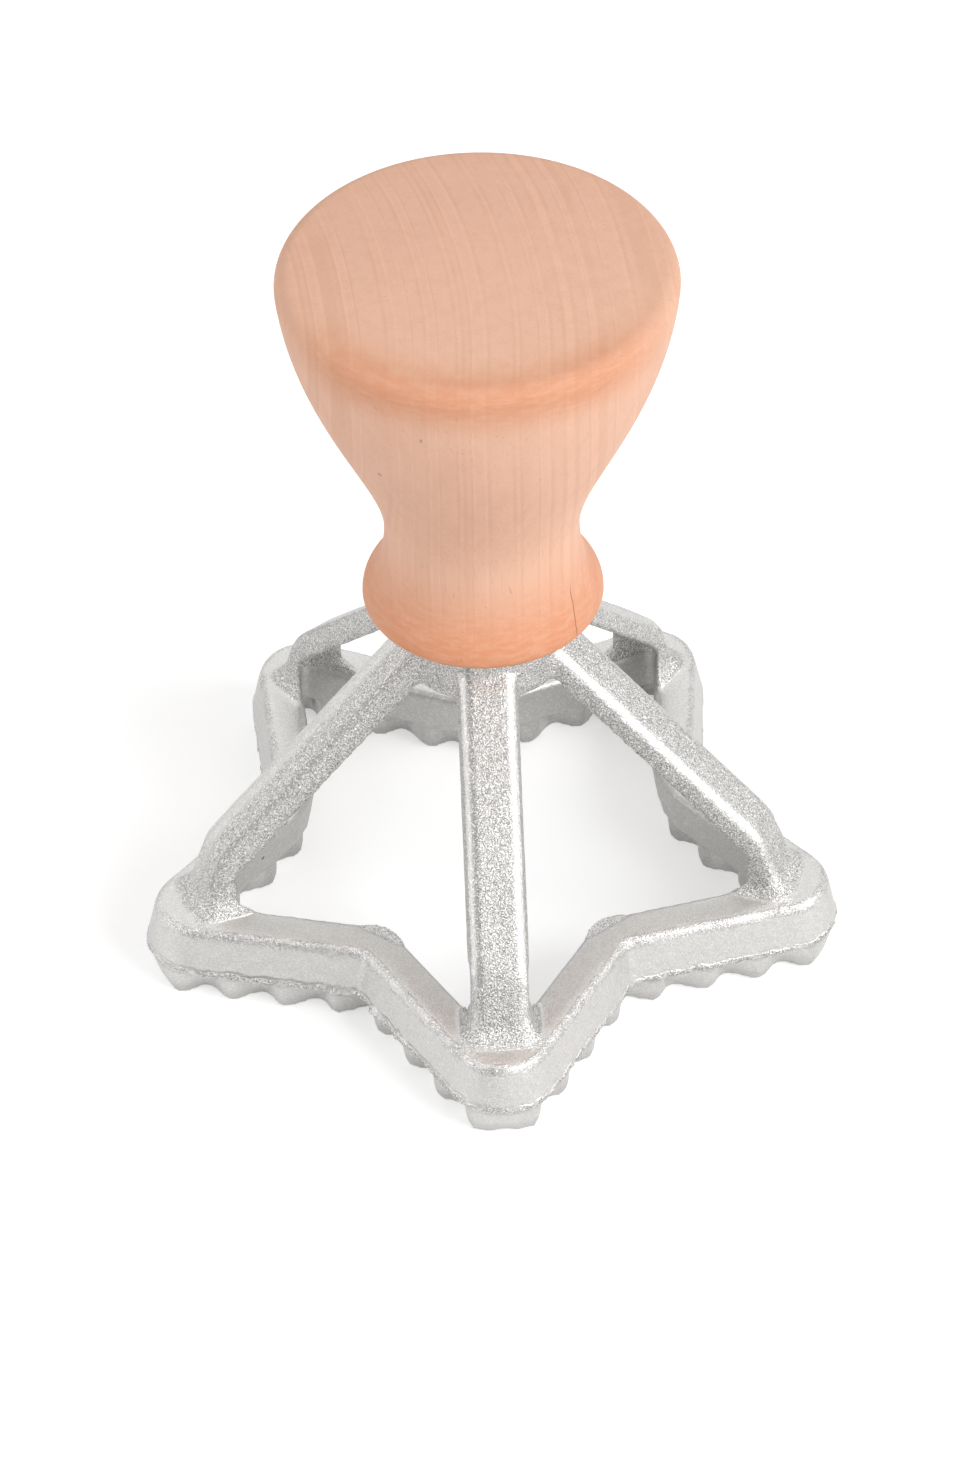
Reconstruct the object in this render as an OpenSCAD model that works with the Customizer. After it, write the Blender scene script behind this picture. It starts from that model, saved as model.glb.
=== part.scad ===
// Star ravioli stamp: a cast aluminium star frame with a fluted cutting edge, five
// sloping spokes and a hub, and a turned wooden knob held by one countersunk screw.
// Millimetres, +Z up. The origin is on the knob's axis, on the plane the star stands on,
// and one point of the star faces -Y.

/* [Star] */
// Radius at which two sides of the star would meet in a sharp point
star_r = 40; // [36:0.5:44]
// Radius of the star's notches, at the top face's outer edge
notch_r = 22.5; // [21:0.5:24]
// Rounding radius of the five points, seen from above
tip_round = 4.7; // [4.4:0.1:5.4]
// Height of the star ring
ring_h = 9; // [8.4:0.1:10]
// Width of the ring's wall, from the top face's outer edge to the inner wall
ring_w = 4.1; // [3.8:0.1:4.3]
// Rounding of the ring's upper outer edge
outer_round = 0.9; // [0.5:0.1:1.2]
// Rounding of the ring's upper inner edge
inner_round = 0.75; // [0.4:0.05:0.9]
// How far the outer wall flares out from its top to the parting line
outer_flare = 1; // [0.4:0.1:1.3]
// How far the inner wall opens out from its top to the parting line
inner_flare = 0.7; // [0.3:0.1:0.9]
// How far the small ledge at the two front notches stands in past the inner wall
notch_pad = 0.7; // [0.2:0.1:1.2]
// How far the inner corner at each notch is set back
notch_relief = 1; // [0.4:0.1:1.2]
// Length of the set-back, and of the ledge, along each side of the notch
relief_len = 2.8; // [2:0.1:3.6]

/* [Cutting edge] */
// Height of the fluted cutting edge, which is also the height of the parting line
edge_h = 3.7; // [3:0.1:4.4]
// Length of one flute along the edge
flute_pitch = 5.6; // [5.2:0.1:5.8]
// Depth of the flutes
flute_depth = 1.8; // [1:0.1:1.9]
// Thickness of the cutting edge's wall
edge_wall = 2.4; // [2:0.05:2.6]
// Step inward below the parting line, on the outside
parting_step = 0.2; // [0.1:0.05:0.4]
// Bevel on each side of the flat land that cuts
land_bevel = 0.45; // [0.1:0.05:0.6]
// Height of that bevel
bevel_h = 1.4; // [0.6:0.1:1.8]
// How far the cutting edge draws in at each point, at its foot
tip_taper = 0.9; // [0:0.1:1]

/* [Spokes] */
// Width of a spoke at its underside
spoke_w = 6.2; // [5.4:0.1:6.4]
// Draft of a spoke, as the width it loses from underside to top
spoke_draft = 0.5; // [0.2:0.1:1]
// Thickness of a spoke, square to its slope
spoke_t = 2.6; // [2:0.1:3.4]
// Rounding of a spoke's upper edges
spoke_round = 1; // [0.5:0.1:1.2]
// Radius at which a spoke's top face leaves the top of the hub
spoke_start_r = 6.4; // [5.6:0.1:7]
// How far inside the foot a spoke bends down to the star's point
knee_run = 2.8; // [2.4:0.1:4]
// Height of that bend above the ring's top face
knee_h = 7.1; // [6:0.1:8.5]
// Radius of the bend
knee_round = 6; // [3:0.5:7]
// How far outside the centre of the point's rounding a spoke's foot meets the ring's top face
foot_out = 1.1; // [0.5:0.1:1.6]
// Radius of the fillet round the foot
foot_fillet = 1.8; // [1:0.1:1.9]

/* [Hub] */
// Radius of the hub at its underside
hub_r = 8.5; // [8:0.1:9.5]
// Draft of the hub's side
hub_draft = 0.3; // [0.1:0.1:0.6]
// Thickness of the hub
hub_t = 5.4; // [4.6:0.1:6.5]
// Height of the hub's top above the ring's top face
hub_rise = 29.4; // [27:0.2:32]
// Rounding of the hub's lower edge
hub_round = 0.5; // [0.2:0.1:0.8]

/* [Handle] */
// Radius of the handle's flat foot on the hub
handle_foot_r = 8.5; // [8.2:0.1:9.6]
// Radius of the bead
bead_r = 12; // [11.4:0.1:12.8]
// Height of the bead's widest place above the hub
bead_z = 2.7; // [2.2:0.1:3.6]
// Radius of the waist
waist_r = 9.65; // [9:0.05:10.2]
// Height of the waist above the hub
waist_z = 11.2; // [10.4:0.1:12.5]
// Greatest radius, at the knob's rim
rim_r = 19.4; // [18:0.1:21]
// Height of the rim above the hub
rim_z = 40.9; // [38:0.5:46]
// Rounding of the rim
rim_round = 1.75; // [1.2:0.05:2.4]
// Lean of the knob's side where it meets the rim, in degrees
rim_lean = 5.7; // [3:0.1:8]
// Rise of the domed top above its edge
dome = 1.2; // [0.6:0.1:1.8]

/* [Screw] */
// Diameter of the screw's head
head_d = 8.4; // [7.6:0.1:9]
// Diameter of the screw's shank through the hub
shank_d = 4; // [3.5:0.1:4.5]
// Diameter of the screw's core inside the wood
core_d = 3; // [2.4:0.1:3.3]
// Length of the screw
screw_len = 25; // [20:1:30]
// Length of the screw's point
point_len = 3; // [2:0.5:4]
// Width of the cross recess in the head
recess_w = 0.9; // [0.6:0.1:1.2]
// Length of the cross recess
recess_len = 4.6; // [3.6:0.2:5.2]
// Depth of the cross recess
recess_depth = 1.7; // [1.2:0.1:1.9]
// Radial clearance of the shank in the hub
shank_clear = 0.2; // [0.1:0.05:0.4]
// Radial clearance of the screw's core in the handle's pilot hole
core_clear = 0.05; // [0.02:0.01:0.1]
// Depth of the pilot hole past the screw's point
pilot_spare = 2; // [1:0.5:4]

/* [Hidden] */
$fn = 96;
tips = 5;
sector = 180 / tips;
front = -90;
wood = [0.86, 0.66, 0.52];
alloy = [0.8, 0.8, 0.79];
steel = [0.6, 0.61, 0.63];

// Angles of the star: between a side and its spoke, and between a side and the notch's radius
tip_half = atan2(notch_r * sin(sector), star_r - notch_r * cos(sector));
notch_half = sector + tip_half;
// Centre of a point's rounding, and lengths along half an arm, from notch to point
tip_c = star_r - tip_round / sin(tip_half);
side_len = (star_r - notch_r * cos(sector)) / cos(tip_half) - tip_round / tan(tip_half);
arc_len = tip_round * (90 - tip_half) * PI / 180;
half_len = side_len + arc_len;
// The flutes run from a trough in the notch to a crest that goes on round the point
flutes = 3;
flute_run = (flutes + 0.5) * flute_pitch;
flute_steps = 6;
tip_steps = 3;

// Heights above the standing plane
hub_top = ring_h + hub_rise;
hub_bottom = hub_top - hub_t;
knee_z = ring_h + knee_h;
foot_r = tip_c + foot_out;
knee_r = foot_r - knee_run;
spoke_slope = atan2(hub_top - knee_z, knee_r - spoke_start_r);
shank_r = shank_d / 2;
head_r = head_d / 2;
head_h = head_r - shank_r;

// Point of the star's outline, d outside the top face's outer edge, at distance s from
// the notch along one side (side = -1 or 1) of the arm that points along +X
function arm_point(s, side, d) =
    s <= side_len
    ? let (t = s / side_len,
           n = notch_r + d / sin(notch_half),
           e = [tip_c + (tip_round + d) * sin(tip_half), (tip_round + d) * cos(tip_half)],
           p = (1 - t) * n * [cos(sector), sin(sector)] + t * e)
      [p.x, side * p.y]
    : let (a = (90 - tip_half) - (s - side_len) / tip_round * 180 / PI)
      [tip_c + (tip_round + d) * cos(a), side * (tip_round + d) * sin(a)];

function turned(p, a) = [p.x * cos(a) - p.y * sin(a), p.x * sin(a) + p.y * cos(a)];

// Stations round the whole star, each [distance from notch, side, arm angle, 1 where the
// notch has a ledge]: the front arm's two notches have one, and its neighbours share them
function stations(steps) = [
    for (k = [0 : tips - 1]) let (a = front + k * 2 * sector) each concat(
        [for (s = steps) [s, -1, a, k <= 1 ? 1 : 0]],
        [for (i = [len(steps) - 2 : -1 : 1]) [steps[i], 1, a, k == 0 || k == tips - 1 ? 1 : 0]]
    )
];

// A row of the ring's section is [offset, height, share of the flute wave, share of the
// set-back at the notch, share of the ledge that takes its place in front, share of the
// taper at the point]
ledge_dip = 0.7;
ledge_rise = 0.45;
function flute(s) = s < flute_run ? (1 + cos(360 * s / flute_pitch)) / 2 : 0;
function set_back(s) = max(0, 1 - s / relief_len);
function ledge(s) = let (u = s / relief_len)
    u < 1 ? (ledge_dip + ledge_rise * u) * (1 - pow(u, 3)) : 0;
function at_point(s) = max(0, (s - flute_run) / (half_len - flute_run));
function row_offset(r, s, front_notch) = let (w = r[4] * front_notch)
    r[0] - r[2] * flute_depth * flute(s) - r[5] * tip_taper * at_point(s)
    + (1 - w) * r[3] * notch_relief * set_back(s) - w * notch_pad * ledge(s);

// Steps along half an arm, from the notch to the middle of the point
steps = concat(
    [for (i = [0 : (flutes + 0.5) * flute_steps]) flute_pitch * i / flute_steps],
    [for (i = [1 : tip_steps]) flute_run + (half_len - flute_run) * i / tip_steps]
);

// The section: from the outer parting line up, over and down inside, then in to the fluted
// cutting edge, a wall of constant thickness that waves in and out, down, round and up again
edge_share = 0.3;
ring_angles = [0, 45, 90];
top_d = edge_share * outer_round;
edge_out = top_d + outer_flare - parting_step;
// The flutes' troughs stay this far outside the inner wall above them
trough_step = 0.15;
wall_in = -ring_w + inner_flare;
edge_in = max(edge_out - edge_wall, wall_in + flute_depth + trough_step);
ledge_h = 0.6;
ledge_z = ring_h - inner_round - ledge_h;
ledge_flare = inner_flare * ledge_h / (ring_h - inner_round - edge_h);
// Shares of the set-back: at the ring's three inner rounding rows, then down to the land
top_relief = [1, 1.4, 0.9];
wall_relief = [0.9, 0.7];
edge_relief = [0.7, 0.85, 0.7];
rows = concat(
    [[top_d + outer_flare, edge_h, 0, 0, 0, 0]],
    [for (a = ring_angles)
        [top_d - outer_round * (1 - cos(a)), ring_h - outer_round * (1 - sin(a)), 0, 0, 0, 0]],
    [for (a = ring_angles)
        [-ring_w + inner_round * (1 - sin(a)), ring_h - inner_round * (1 - cos(a)), 0,
         top_relief[a / 45], a < 90 ? 0 : 1, 0]],
    [[-ring_w + ledge_flare, ledge_z, 0, wall_relief[0], 0, 0],
     [wall_in, edge_h, 0, wall_relief[1], 0, 0],
     [edge_in, edge_h, 1, edge_relief[0], 0, 0],
     [edge_in, bevel_h, 1, edge_relief[1], 0, 0],
     [edge_in + land_bevel, 0, 1, edge_relief[2], 0, 0.5],
     [edge_out - parting_step - land_bevel, 0, 1, 0, 0, 1],
     [edge_out - parting_step, bevel_h, 1, 0, 0, 0.5],
     [edge_out, edge_h, 1, 0, 0, 0]]
);

// The ring and its cutting edge, swept round the star as one closed skin
module star_ring() {
    st = stations(steps);
    n = len(st);
    m = len(rows);
    points = [for (q = st, r = rows)
        let (p = turned(arm_point(q[0], q[1], row_offset(r, q[0], q[3])), q[2]))
        [p.x, p.y, r[1]]];
    faces = [for (j = [0 : n - 1], i = [0 : m - 1])
        let (j2 = (j + 1) % n, i2 = (i + 1) % m)
        each [[j * m + i, j * m + i2, j2 * m + i2], [j * m + i, j2 * m + i2, j2 * m + i]]];
    polyhedron(points = points, faces = faces);
}

// One spoke along +X as a loft: each section runs from its underside point to its top point
knee_drop = atan2(knee_h, foot_r - knee_r);
knee_steps = 4;
knee_tan = knee_round * tan((knee_drop - spoke_slope) / 2);
function on_slope(r) = [r, knee_z + (knee_r - r) * tan(spoke_slope)];
function under(r) = on_slope(r) - [0, spoke_t / cos(spoke_slope)];
knee_start = [knee_r, knee_z] + knee_tan * [-cos(spoke_slope), sin(spoke_slope)];
knee_centre = knee_start - knee_round * [sin(spoke_slope), cos(spoke_slope)];
round_angles = [0, 30, 60, 90];
inner_end = spoke_start_r + 0.3;
foot_sink = 0.9;
foot_z = ring_h - foot_sink;
foot_len = 1.7;
heel = knee_start.x - spoke_t * sin(spoke_slope);
top_line = concat(
    [on_slope(inner_end)],
    [for (i = [0 : knee_steps])
        let (a = spoke_slope + (knee_drop - spoke_slope) * i / knee_steps)
        knee_centre + knee_round * [sin(a), cos(a)]],
    [[foot_r, ring_h] + foot_sink * [1 / tan(knee_drop), -1]]
);
under_line = concat(
    [under(inner_end - spoke_t * sin(spoke_slope)), under(heel)],
    [for (i = [0 : knee_steps]) [heel + (foot_r - foot_len - heel) * i / knee_steps, foot_z]]
);

// Section across a spoke, from one underside edge round the two rounded upper edges
function spoke_section(b, t) =
    let (up = (t - b) / norm(t - b), w0 = spoke_w / 2, w1 = (spoke_w - spoke_draft) / 2)
    concat(
        [[b.x, w0, b.y]],
        [for (a = round_angles)
            let (p = t - spoke_round * (1 - sin(a)) * up)
            [p.x, w1 - spoke_round * (1 - cos(a)), p.y]],
        [for (i = [len(round_angles) - 1 : -1 : 0])
            let (a = round_angles[i], p = t - spoke_round * (1 - sin(a)) * up)
            [p.x, -w1 + spoke_round * (1 - cos(a)), p.y]],
        [[b.x, -w0, b.y]]
    );

// Loft of like sections, closed at both ends
module loft(sections) {
    n = len(sections);
    m = len(sections[0]);
    points = [for (s = sections) each s];
    sides = [for (j = [0 : n - 2], i = [0 : m - 1])
        let (i2 = (i + 1) % m)
        each [[j * m + i, (j + 1) * m + i2, j * m + i2],
              [j * m + i, (j + 1) * m + i, (j + 1) * m + i2]]];
    start = [for (i = [0 : m - 1]) i];
    end = [for (i = [m - 1 : -1 : 0]) (n - 1) * m + i];
    polyhedron(points = points, faces = concat([start], sides, [end]));
}

module spoke() {
    loft([for (i = [0 : len(top_line) - 1]) spoke_section(under_line[i], top_line[i])]);
}

// Skirt that fillets a foot into the ring's top face. Each row gives its height above that
// face and its reach from the foot, as shares of the fillet's radius
skirt_rows = [[1.2, -0.12], [0.6, 0.06], [0.2, 0.34], [-0.1, 0.68]];
skirt_corner = 1;
corner_d = -ring_w + 0.35;
corner_back = arm_point(side_len / 2, 1, corner_d);
corner_tip = arm_point(side_len, 1, corner_d);
skirt_back = corner_back.x + 0.7;
function skirt_outline(z, o) =
    let (front_x = foot_r - z / tan(knee_drop) + o, w = spoke_w / 2 + o, c = skirt_corner + o)
    concat(
        [[skirt_back, w, ring_h + z]],
        [for (a = round_angles)
            [front_x - c * (1 - sin(a)), w - c * (1 - cos(a)), ring_h + z]],
        [for (i = [len(round_angles) - 1 : -1 : 0]) let (a = round_angles[i])
            [front_x - c * (1 - sin(a)), -w + c * (1 - cos(a)), ring_h + z]],
        [[skirt_back, -w, ring_h + z]]
    );

module foot_skirt() {
    loft([for (r = skirt_rows) skirt_outline(foot_fillet * r[0], foot_fillet * r[1])]);
}

// The corner of the star's opening under a spoke: it is cut out of the foot, so that the
// ring's inner walls rise to the spoke's underside
corner_gap = 0.15;
module opening_corner() {
    back = corner_back;
    tip = corner_tip;
    low = foot_z - 1;
    intersection() {
        translate([0, 0, low])
            linear_extrude(hub_top - low)
                polygon([[back.x, -back.y], [tip.x, -tip.y], tip, back]);
        translate([0, back.y + 1, 0])
            rotate([90, 0, 0])
                linear_extrude(2 * back.y + 2)
                    polygon([[back.x - 1, low], [foot_r, low],
                             under(foot_r) - [0, corner_gap],
                             under(back.x - 1) - [0, corner_gap]]);
    }
}

module arm() {
    difference() {
        union() {
            spoke();
            foot_skirt();
        }
        opening_corner();
    }
}

// Hub with a countersunk hole for the screw
module hub() {
    seat_r = shank_r + shank_clear;
    difference() {
        rotate_extrude()
            polygon(concat(
                [[0, hub_top], [0, hub_bottom]],
                [for (a = round_angles)
                    [hub_r - hub_round * (1 - sin(a)), hub_bottom + hub_round * (1 - cos(a))]],
                [[hub_r - hub_draft, hub_top]]
            ));
        translate([0, 0, hub_bottom - 1])
            cylinder(h = hub_t + 2, r = seat_r);
        translate([0, 0, hub_bottom])
            cylinder(h = head_r - seat_r, r1 = head_r, r2 = seat_r);
    }
}

module star_frame() {
    color(alloy) {
        star_ring();
        for (k = [0 : tips - 1])
            rotate([0, 0, front + 2 * sector * k]) arm();
        hub();
    }
}

// Turned outline of the handle, with heights measured from the hub's top
function curve(a, b, c, d, n) = [for (i = [0 : n])
    let (t = i / n, u = 1 - t)
    u * u * u * a + 3 * u * u * t * b + 3 * u * t * t * c + t * t * t * d];
curve_steps = 16;
bead_steps = 8;
// How far each end of a curve pulls it: the foot's in mm, the others as shares of the rise
foot_pull = [0.5, 0.2];
bead_below = 0.325;
bead_above = 0.29;
waist_below = 0.765;
waist_above = 0.245;
rim_below = 0.451;
bead_rise = waist_z - bead_z;
cone_rise = rim_z - waist_z;
rim_dir = [sin(rim_lean), cos(rim_lean)];
rim_point = [rim_r, rim_z] - rim_round * [1 - cos(rim_lean), sin(rim_lean)];
rim_centre = [rim_r - rim_round, rim_z];
rim_angles = [15, 30, 45, 60, 75, 90];
dome_steps = 6;
dome_r = rim_r - rim_round;
handle_outline = concat(
    [[0, 0]],
    curve([handle_foot_r, 0], [handle_foot_r, 0] + foot_pull,
          [bead_r, bead_z * (1 - bead_below)], [bead_r, bead_z], bead_steps),
    [for (i = [1 : bead_steps])
        curve([bead_r, bead_z], [bead_r, bead_z + bead_above * bead_rise],
              [waist_r, waist_z - waist_below * bead_rise], [waist_r, waist_z], bead_steps)[i]],
    [for (i = [1 : curve_steps])
        curve([waist_r, waist_z], [waist_r, waist_z + waist_above * cone_rise],
              rim_point - rim_below * cone_rise * rim_dir, rim_point, curve_steps)[i]],
    [for (a = concat([0], rim_angles)) rim_centre + rim_round * [cos(a), sin(a)]],
    [for (i = [1 : dome_steps])
        let (r = dome_r * (1 - i / dome_steps))
        [r, rim_z + rim_round + dome * (1 - pow(r / dome_r, 2))]]
);
pilot_depth = screw_len - hub_t + pilot_spare;

module handle() {
    color(wood)
        translate([0, 0, hub_top])
            difference() {
                rotate_extrude() polygon(handle_outline);
                translate([0, 0, -1])
                    cylinder(h = pilot_depth + 1, r = core_d / 2 + core_clear);
            }
}

module handle_screw() {
    color(steel)
        translate([0, 0, hub_bottom])
            difference() {
                union() {
                    cylinder(h = head_h, r1 = head_r, r2 = shank_r);
                    cylinder(h = hub_t, r = shank_r);
                    cylinder(h = screw_len - point_len, r = core_d / 2);
                    translate([0, 0, screw_len - point_len])
                        cylinder(h = point_len, r1 = core_d / 2, r2 = 0);
                }
                for (a = [0, 90])
                    rotate([0, 0, a])
                        translate([-recess_len / 2, -recess_w / 2, -1])
                            cube([recess_len, recess_w, recess_depth + 1]);
            }
}

star_frame();
handle();
handle_screw();
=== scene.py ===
"""Star ravioli stamp for Blender: a cast aluminium star with a turned beech knob.

Every length in the settings is a Blender length in metres; the shapes are worked out in
millimetres, on the handle's axis, with the plane that the star stands on at height 0."""

import math

import bpy
import numpy as np
from bpy.props import FloatProperty, FloatVectorProperty, IntProperty, PointerProperty
from mathutils import Matrix, Vector, noise


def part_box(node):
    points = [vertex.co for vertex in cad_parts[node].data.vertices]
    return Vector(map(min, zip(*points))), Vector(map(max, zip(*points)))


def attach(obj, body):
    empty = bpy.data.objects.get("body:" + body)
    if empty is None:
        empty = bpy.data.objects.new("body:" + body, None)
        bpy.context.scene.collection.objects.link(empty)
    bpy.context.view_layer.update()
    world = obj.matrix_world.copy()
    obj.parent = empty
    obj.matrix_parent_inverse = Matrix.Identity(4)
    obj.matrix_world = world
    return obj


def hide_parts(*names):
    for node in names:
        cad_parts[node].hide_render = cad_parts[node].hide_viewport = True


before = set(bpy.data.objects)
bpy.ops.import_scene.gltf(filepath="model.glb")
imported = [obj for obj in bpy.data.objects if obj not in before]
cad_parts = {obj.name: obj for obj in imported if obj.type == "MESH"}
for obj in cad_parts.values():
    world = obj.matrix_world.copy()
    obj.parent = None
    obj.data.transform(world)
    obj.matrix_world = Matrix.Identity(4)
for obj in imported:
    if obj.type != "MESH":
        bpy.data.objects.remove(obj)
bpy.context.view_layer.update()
MM = 0.001

# The star in mm, as in the part's source: heights of the ring's top face and of the parting
# line, the ring's width and the notches' radius, then the angle from a point to a notch and
# the angle from a notch's own direction to the normal of the side beside it
RING_TOP, PARTING, RING_W, NOTCH_R = 9.0, 3.7, 4.1, 22.5
SECTOR, SIDE_TURN = math.radians(36), math.radians(22.8)

# The flat ledge beside the ring's top at each of the two front notches, in mm: its height,
# its length and width along a side, and the width that it gains at the corner
LEDGE_Z, LEDGE_LONG, LEDGE_WIDE, LEDGE_CORNER = 8.6, 2.8, 0.55, 1.0

# The flash in mm: the place with most of it, its reach from that place, the half height of
# the lip and its middle over the parting line, and the least share of it elsewhere
FLASH_AT = (-15.0, -19.4, PARTING)
FLASH_SPREAD, FLASH_HALF, FLASH_LIFT, FLASH_LEAST = 9.0, 0.5, 0.2, 0.3

# The seam on the casting's skin in mm: how far the line wanders, and for the rough lip and the
# painted shadow lines over and under it the middle over the parting line, and the distances from
# the middle at which each fades out and is full
SEAM_WANDER = 0.9
LIP, SHADOW_OVER, SHADOW_UNDER = (0.3, 0.55, 0.25), (0.85, 0.22, 0.06), (-0.35, 0.35, 0.15)

# The spokes' skin in mm, measured across a spoke from its middle: where the rubbed edge begins
# and is full, how far the left spoke's rubbed part is shifted, and for the painted line of dark
# reflection its place, its shift on the left spoke, and where it fades out and is full
RUBBED, LEFT_SHIFT = (1.6, 2.5), 1.6
DARK_LINE, DARK_LINE_LEFT, DARK_LINE_WIDTH = 1.9, 2.4, (0.6, 0.1)

# Small marks in mm: pits in the casting and flecks in the wood (x, y, z, size), burnished
# rings on the knob (radius, height over its foot, reach, strength in front and behind), and
# the crack in the bead (bearing of its plane's normal, the plane's distance from the axis,
# width, lowest and highest)
CAST_PITS = ((-23.25, -1.0, 6.27, 0.3), (-25.3, -17.2, 6.4, 0.12), (9.6, -26.3, 5.9, 0.12))
WOOD_FLECKS = ((-6.1, -17.6, 74.3, 0.2), (-10.0, -12.3, 66.1, 0.3), (3.4, -16.2, 75.4, 0.15))
BURNISHED = ((18.7, 41.2, 5.0, 0.85, 0.15), (11.8, 2.6, 10.5, 1.0, 0.75))
CRACK = (math.radians(11.9), 7.06, 0.06, 2.4, 7.8)

# The knob's outline in mm, as in the part's source: [radius, height over the foot] of its
# turning points, the rim's rounding and lean, the dome's rise, and the hole for the screw
FOOT, BEAD, WAIST, RIM = (8.5, 0.0), (12.0, 2.7), (9.65, 11.2), (19.4, 40.9)
RIM_ROUND, RIM_LEAN, DOME = 1.75, math.radians(5.7), 1.2
HOLE_R, HOLE_DEPTH = 1.55, 21.6

# How far each end of a curve pulls it: the foot's in mm, the others as shares of the rise
FOOT_PULL = (0.5, 0.2)
BEAD_BELOW, BEAD_ABOVE, WAIST_BELOW, WAIST_ABOVE, RIM_BELOW = 0.325, 0.29, 0.765, 0.245, 0.451

# Rows of points along the hole, the foot, the bead, the neck, the flare, the rim and the dome
HOLE_ROWS, FOOT_ROWS, BEAD_ROWS, NECK_ROWS, FLARE_ROWS, RIM_ROWS, DOME_ROWS = (
    6, 12, 16, 22, 64, 12, 40)

# The studio in metres: each lamp's place and width, the place that they point at, and how far
# the floor lies under the stamp. Then the floor's share of matte white and of glow, the share
# of the glow that gloss shows, and where the dark side of the room begins and is full, as the
# cosine of the angle from its middle
KEY_AT, KEY_WIDTH = (0.75, -0.55, 0.62), 0.82
FILL_AT, FILL_WIDTH = (-0.8, -0.35, 0.5), 0.8
LAMP_AIM = (0.0, 0.0, 0.035)
FLOOR_DROP = 0.02 * MM
FLOOR_MATTE, FLOOR_GLOW, FLOOR_IN_GLOSS = 0.8, 0.42, 0.68
DARK_FROM, DARK_FULL = 0.74, 0.93

bl_info = {
    "name": "Star Ravioli Stamp",
    "version": (1, 0, 0),
    "blender": (4, 5, 0),
    "location": "3D View > Sidebar > Stamp",
    "description": "A cast star stamp with a turned wooden knob, its screw and a plain studio",
    "category": "Add Mesh",
}


def length(name, description, default, low=0.0, high=1.0):
    """A length in metres, shown in the scene's unit."""
    return FloatProperty(name=name, description=description, default=default, min=low,
                         max=high, subtype="DISTANCE", unit="LENGTH", precision=5)


def share(name, description, default, low=0.0, high=1.0):
    """A plain number, such as a share or a strength."""
    return FloatProperty(name=name, description=description, default=default, min=low,
                         max=high)


def colour(name, description, default):
    return FloatVectorProperty(name=name, description=description, default=default, size=3,
                               min=0.0, max=1.0, subtype="COLOR")


class StampCastingSettings(bpy.types.PropertyGroup):
    """Sizes and colours of the star casting."""

    voxel: length("Surface grid", "Spacing of the points on the casting's skin",
                  0.38 * MM, 0.1 * MM, 2 * MM)
    smoothing: IntProperty(name="Cast softness", default=3, min=0, max=20,
                           description="Passes that round the edges and fillets as a mould does")
    unevenness: length("Unevenness", "Height of the casting's slow waves", 0.035 * MM,
                       0.0, 0.5 * MM)
    flash: length("Flash", "Reach of the thin flash at the parting line", 0.55 * MM,
                  0.0, 1 * MM)
    metal: colour("Metal", "Colour of the blasted metal", (0.705, 0.695, 0.68))
    # The worn colour also paints a sheen, a painted highlight, on the ring's flat top and the
    # ledges
    worn_and_sheen: colour("Worn edge", "Colour where edges are rubbed bright", (0.84, 0.83, 0.81))
    # The inner walls' colour is painted shade on the walls inside the star
    inside: colour("Inner walls", "Colour of the duller walls inside the star",
                   (0.56, 0.555, 0.54))
    roughness: share("Roughness", "Roughness of the blasted skin", 0.35)
    sparkle: share("Sparkle", "Strength of the blasted skin's fine grain", 1.0)


class StampKnobSettings(bpy.types.PropertyGroup):
    """Sizes and colours of the turned knob."""

    turns: IntProperty(name="Points round", default=288, min=24, max=512,
                       description="Points round the knob's circle")
    ring_gap: length("Growth rings", "Usual distance between growth rings", 2.4 * MM,
                     0.5 * MM, 10 * MM)
    pith: length("Distance to the pith", "How far off the tree's middle lies", 90 * MM,
                 20 * MM, 1.0)
    wood: colour("Wood", "Colour of the pale wood", (0.79, 0.48, 0.345))
    late_wood: colour("Late wood", "Colour of a growth ring's darker line",
                      (0.66, 0.36, 0.235))
    burnish: colour("Burnish", "Colour that the lathe left on the rim and the bead",
                    (0.67, 0.28, 0.145))
    fleck: colour("Flecks", "Colour of the fine dark flecks", (0.42, 0.2, 0.12))
    roughness: share("Roughness", "Roughness of the sanded wood", 0.58)


class StampScrewSettings(bpy.types.PropertyGroup):
    """Colours of the screw under the hub."""

    steel: colour("Steel", "Colour of the plated steel", (0.56, 0.57, 0.59))
    roughness: share("Roughness", "Roughness of the plating", 0.32)


class StampStageSettings(bpy.types.PropertyGroup):
    """The plain studio and its camera."""

    lens: FloatProperty(name="Lens", description="Focal length of the camera",
                        default=149.2, min=20, max=400, unit="CAMERA")
    distance: length("Distance", "From the camera to the ring's top face", 0.6239, 0.1, 5.0)
    pitch: FloatProperty(name="Pitch", description="How far the camera looks down",
                         default=math.radians(41.97), subtype="ANGLE")
    roll: FloatProperty(name="Roll", description="Tilt of the camera about its own view",
                        default=math.radians(-1.1), subtype="ANGLE")
    turn: FloatProperty(name="Turn", description="How far the camera stands round the stamp",
                        default=math.radians(-1.74), subtype="ANGLE")
    aside: length("Aside", "The camera's offset to its right", -0.26 * MM, -0.1, 0.1)
    raised: length("Raised", "The camera's offset upward", 9.47 * MM, -0.1, 0.1)
    target_height: length("Aim height", "Height of the ring's top face", RING_TOP * MM, 0.0,
                          0.1)
    floor_size: length("Floor", "Width of the floor", 6.0, 0.5, 20.0)
    floor: colour("Floor", "Colour of the floor and background", (1.0, 1.0, 1.0))
    ambient: share("Room light", "Strength of the light from all round", 0.54, 0.0, 2.0)
    dark: share("Dark side", "How dark the room is on its dark side, as gloss shows it", 0.95)
    dark_side: FloatVectorProperty(name="Dark direction", size=3, subtype="DIRECTION",
                                   description="Where the room is darkest",
                                   default=(-0.5, -0.8, 0.33))
    key: share("Key lamp", "Power of the large soft lamp on the right, in watts", 8.7, 0.0,
               100.0)
    fill: share("Fill lamp", "Power of the soft lamp on the left, in watts", 2.8, 0.0, 100.0)


# Node helpers

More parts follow.
